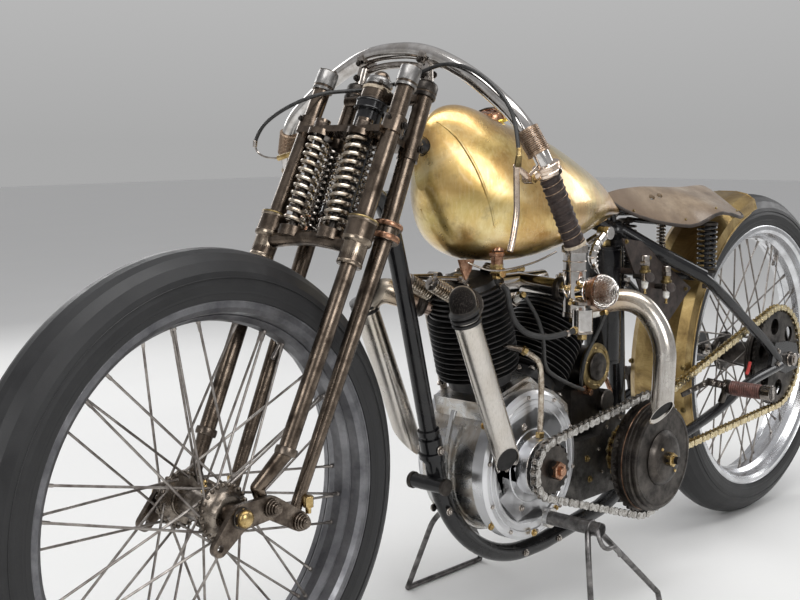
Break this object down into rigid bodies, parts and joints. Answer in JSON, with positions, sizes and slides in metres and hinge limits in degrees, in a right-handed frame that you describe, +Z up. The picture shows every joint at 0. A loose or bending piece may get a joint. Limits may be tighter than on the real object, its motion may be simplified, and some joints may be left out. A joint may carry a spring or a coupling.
{
  "type": "chopper motorcycle",
  "caption": "Rigid-framed custom chopper motorcycle with a springer fork, tall handlebar, solo saddle, finned V-twin engine and open chain drives, held on a rod display stand.",
  "frame": {"origin": "on the ground, midway between the front of the front tyre and the back of the rear tyre, in the middle plane", "axes": "+X forward, +Y to the rider's left, +Z up"},
  "size_m": [2.226, 0.6014, 0.9847],
  "materials": {
    "tyre": "smooth tread, matt",
    "rim_satin": "satin dark grey",
    "rim_polished": "polished",
    "spoke_steel": "dark nickel",
    "hub_steel": "worn nickel",
    "dark_steel": "dark, slightly worn",
    "sprocket_steel": "dark with rust-brown teeth",
    "bronzed_steel": "bronze-brown raw steel",
    "spring_nickel": "worn nickel",
    "rocker_steel": "brushed, brown tinted",
    "brass": "worn",
    "copper": "copper tone, worn",
    "chrome": "mirror with light haze",
    "grip_leather": "dark wrapped leather with pale cord",
    "cable_rubber": "satin black",
    "hose_rubber": "matt black",
    "black_paint": "gloss black",
    "tank_brass": "brass leaf with green-brown patina under gloss",
    "saddle_leather": "tan, darkened at the rim",
    "fender_brass": "brown brass, worn bright",
    "spare_plug": "white insulator on brown steel",
    "engine_alloy": "polished with dull recesses",
    "cover_alloy": "polished",
    "cylinder_iron": "satin black",
    "exhaust_steel": "brushed stainless with heat tints",
    "gearbox_alloy": "dark, dull",
    "chain_steel": "oiled nickel",
    "chain_gold": "golden plates",
    "brown_plate": "dark brown, dull",
    "stand_steel": "dark bare steel"
  },
  "bodies": {
    "front_wheel": {"front_tyre": "tyre", "front_rim": "rim_satin", "front_spokes": "spoke_steel", "front_hub": "hub_steel"},
    "rear_wheel": {"rear_tyre": "tyre", "rear_rim": "rim_polished", "rear_spokes": "spoke_steel", "rear_hub": "dark_steel", "rear_sprocket": "sprocket_steel"},
    "fork": {"fork_rear_legs": "bronzed_steel", "fork_front_legs": "bronzed_steel", "spring_plate": "bronzed_steel", "fork_springs": "spring_nickel", "fork_rockers": "rocker_steel", "front_axle": "brass", "handlebar": "chrome", "grips": "grip_leather", "bar_risers": "chrome", "brake_lever": "copper", "control_cable": "cable_rubber"},
    "frame": {"frame_head": "black_paint", "frame_downtube": "black_paint", "frame_cradle": "black_paint", "seat_tube": "black_paint", "rear_stays": "black_paint", "rear_axle": "hub_steel", "fuel_tank": "tank_brass", "tank_fittings": "copper", "fuel_hose": "hose_rubber", "ignition_leads": "cable_rubber", "saddle": "saddle_leather", "saddle_springs": "dark_steel", "rear_fender": "fender_brass", "oil_tank": "black_paint", "spare_plugs": "spare_plug", "plug_plate": "brown_plate", "crankcase": "engine_alloy", "case_covers": "cover_alloy", "cylinders": "cylinder_iron", "cylinder_heads": "cylinder_iron", "valve_springs": "spring_nickel", "carburettor": "chrome", "air_bell": "copper", "bell_screen": "chrome", "exhaust_pipes": "exhaust_steel", "magneto": "brass", "gearbox": "gearbox_alloy", "clutch": "dark_steel", "engine_sprocket": "sprocket_steel", "primary_chain": "chain_steel", "final_chain": "chain_gold", "gearbox_sprocket": "sprocket_steel", "foot_pegs": "dark_steel", "stand": "stand_steel"}
  },
  "joints": [
    {"name": "steering", "type": "hinge", "parent": "frame", "child": "fork", "pos_m": [0.406, 0, 0.92], "axis": [-0.4384, 0, 0.8988], "range_deg": [-30, 30]},
    {"name": "front_wheel_spin", "type": "hinge", "parent": "fork", "child": "front_wheel", "pos_m": [0.763, 0, 0.35], "axis": [0, 1, 0], "continuous": true},
    {"name": "rear_wheel_spin", "type": "hinge", "parent": "frame", "child": "rear_wheel", "pos_m": [-0.757, 0, 0.356], "axis": [0, 1, 0], "continuous": true}
  ]
}
